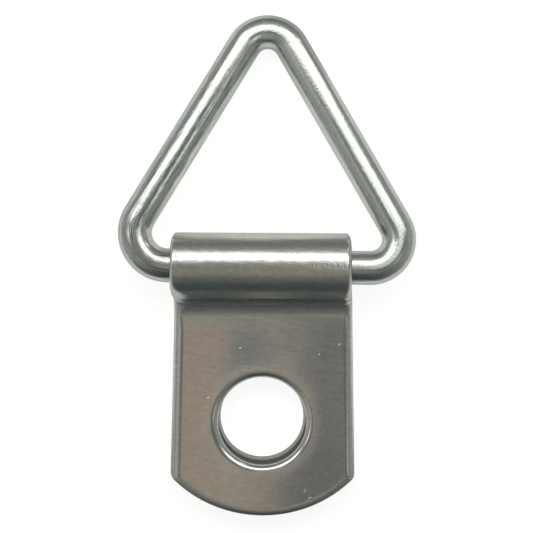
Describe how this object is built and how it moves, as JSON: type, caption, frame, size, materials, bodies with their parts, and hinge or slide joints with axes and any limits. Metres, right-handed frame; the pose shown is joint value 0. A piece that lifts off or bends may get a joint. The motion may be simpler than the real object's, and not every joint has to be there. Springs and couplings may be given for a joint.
{
  "type": "plaque hanger",
  "caption": "Triangular wire ring that swings in the rolled barrel of a folded, plated steel strap. A screw through the strap fixes it to the back of a plaque or picture frame.",
  "frame": {"origin": "under the middle of the hanger's outline, on the plane of the strap's back face, with the ring lying as it rests", "axes": "+X across the strap, along the ring's hinge axis; +Y from the screw hole towards the ring's apex; +Z out of the strap's front face"},
  "size_m": [0.0176, 0.0298, 0.004],
  "materials": {
    "strap_plate": "bright nickel plate over punched and folded sheet steel, slightly hazy, with small scratches and rolled edges",
    "ring_wire": "bright nickel plate over drawn steel wire, with fine drawing lines along the wire"
  },
  "bodies": {
    "strap": {"strap": "strap_plate"},
    "ring": {"ring": "ring_wire"}
  },
  "joints": [
    {"name": "ring_swing", "type": "hinge", "parent": "strap", "child": "ring", "pos_m": [0, -0.00014, 0.002], "axis": [1, 0, 0], "range_deg": [0, 177]}
  ]
}
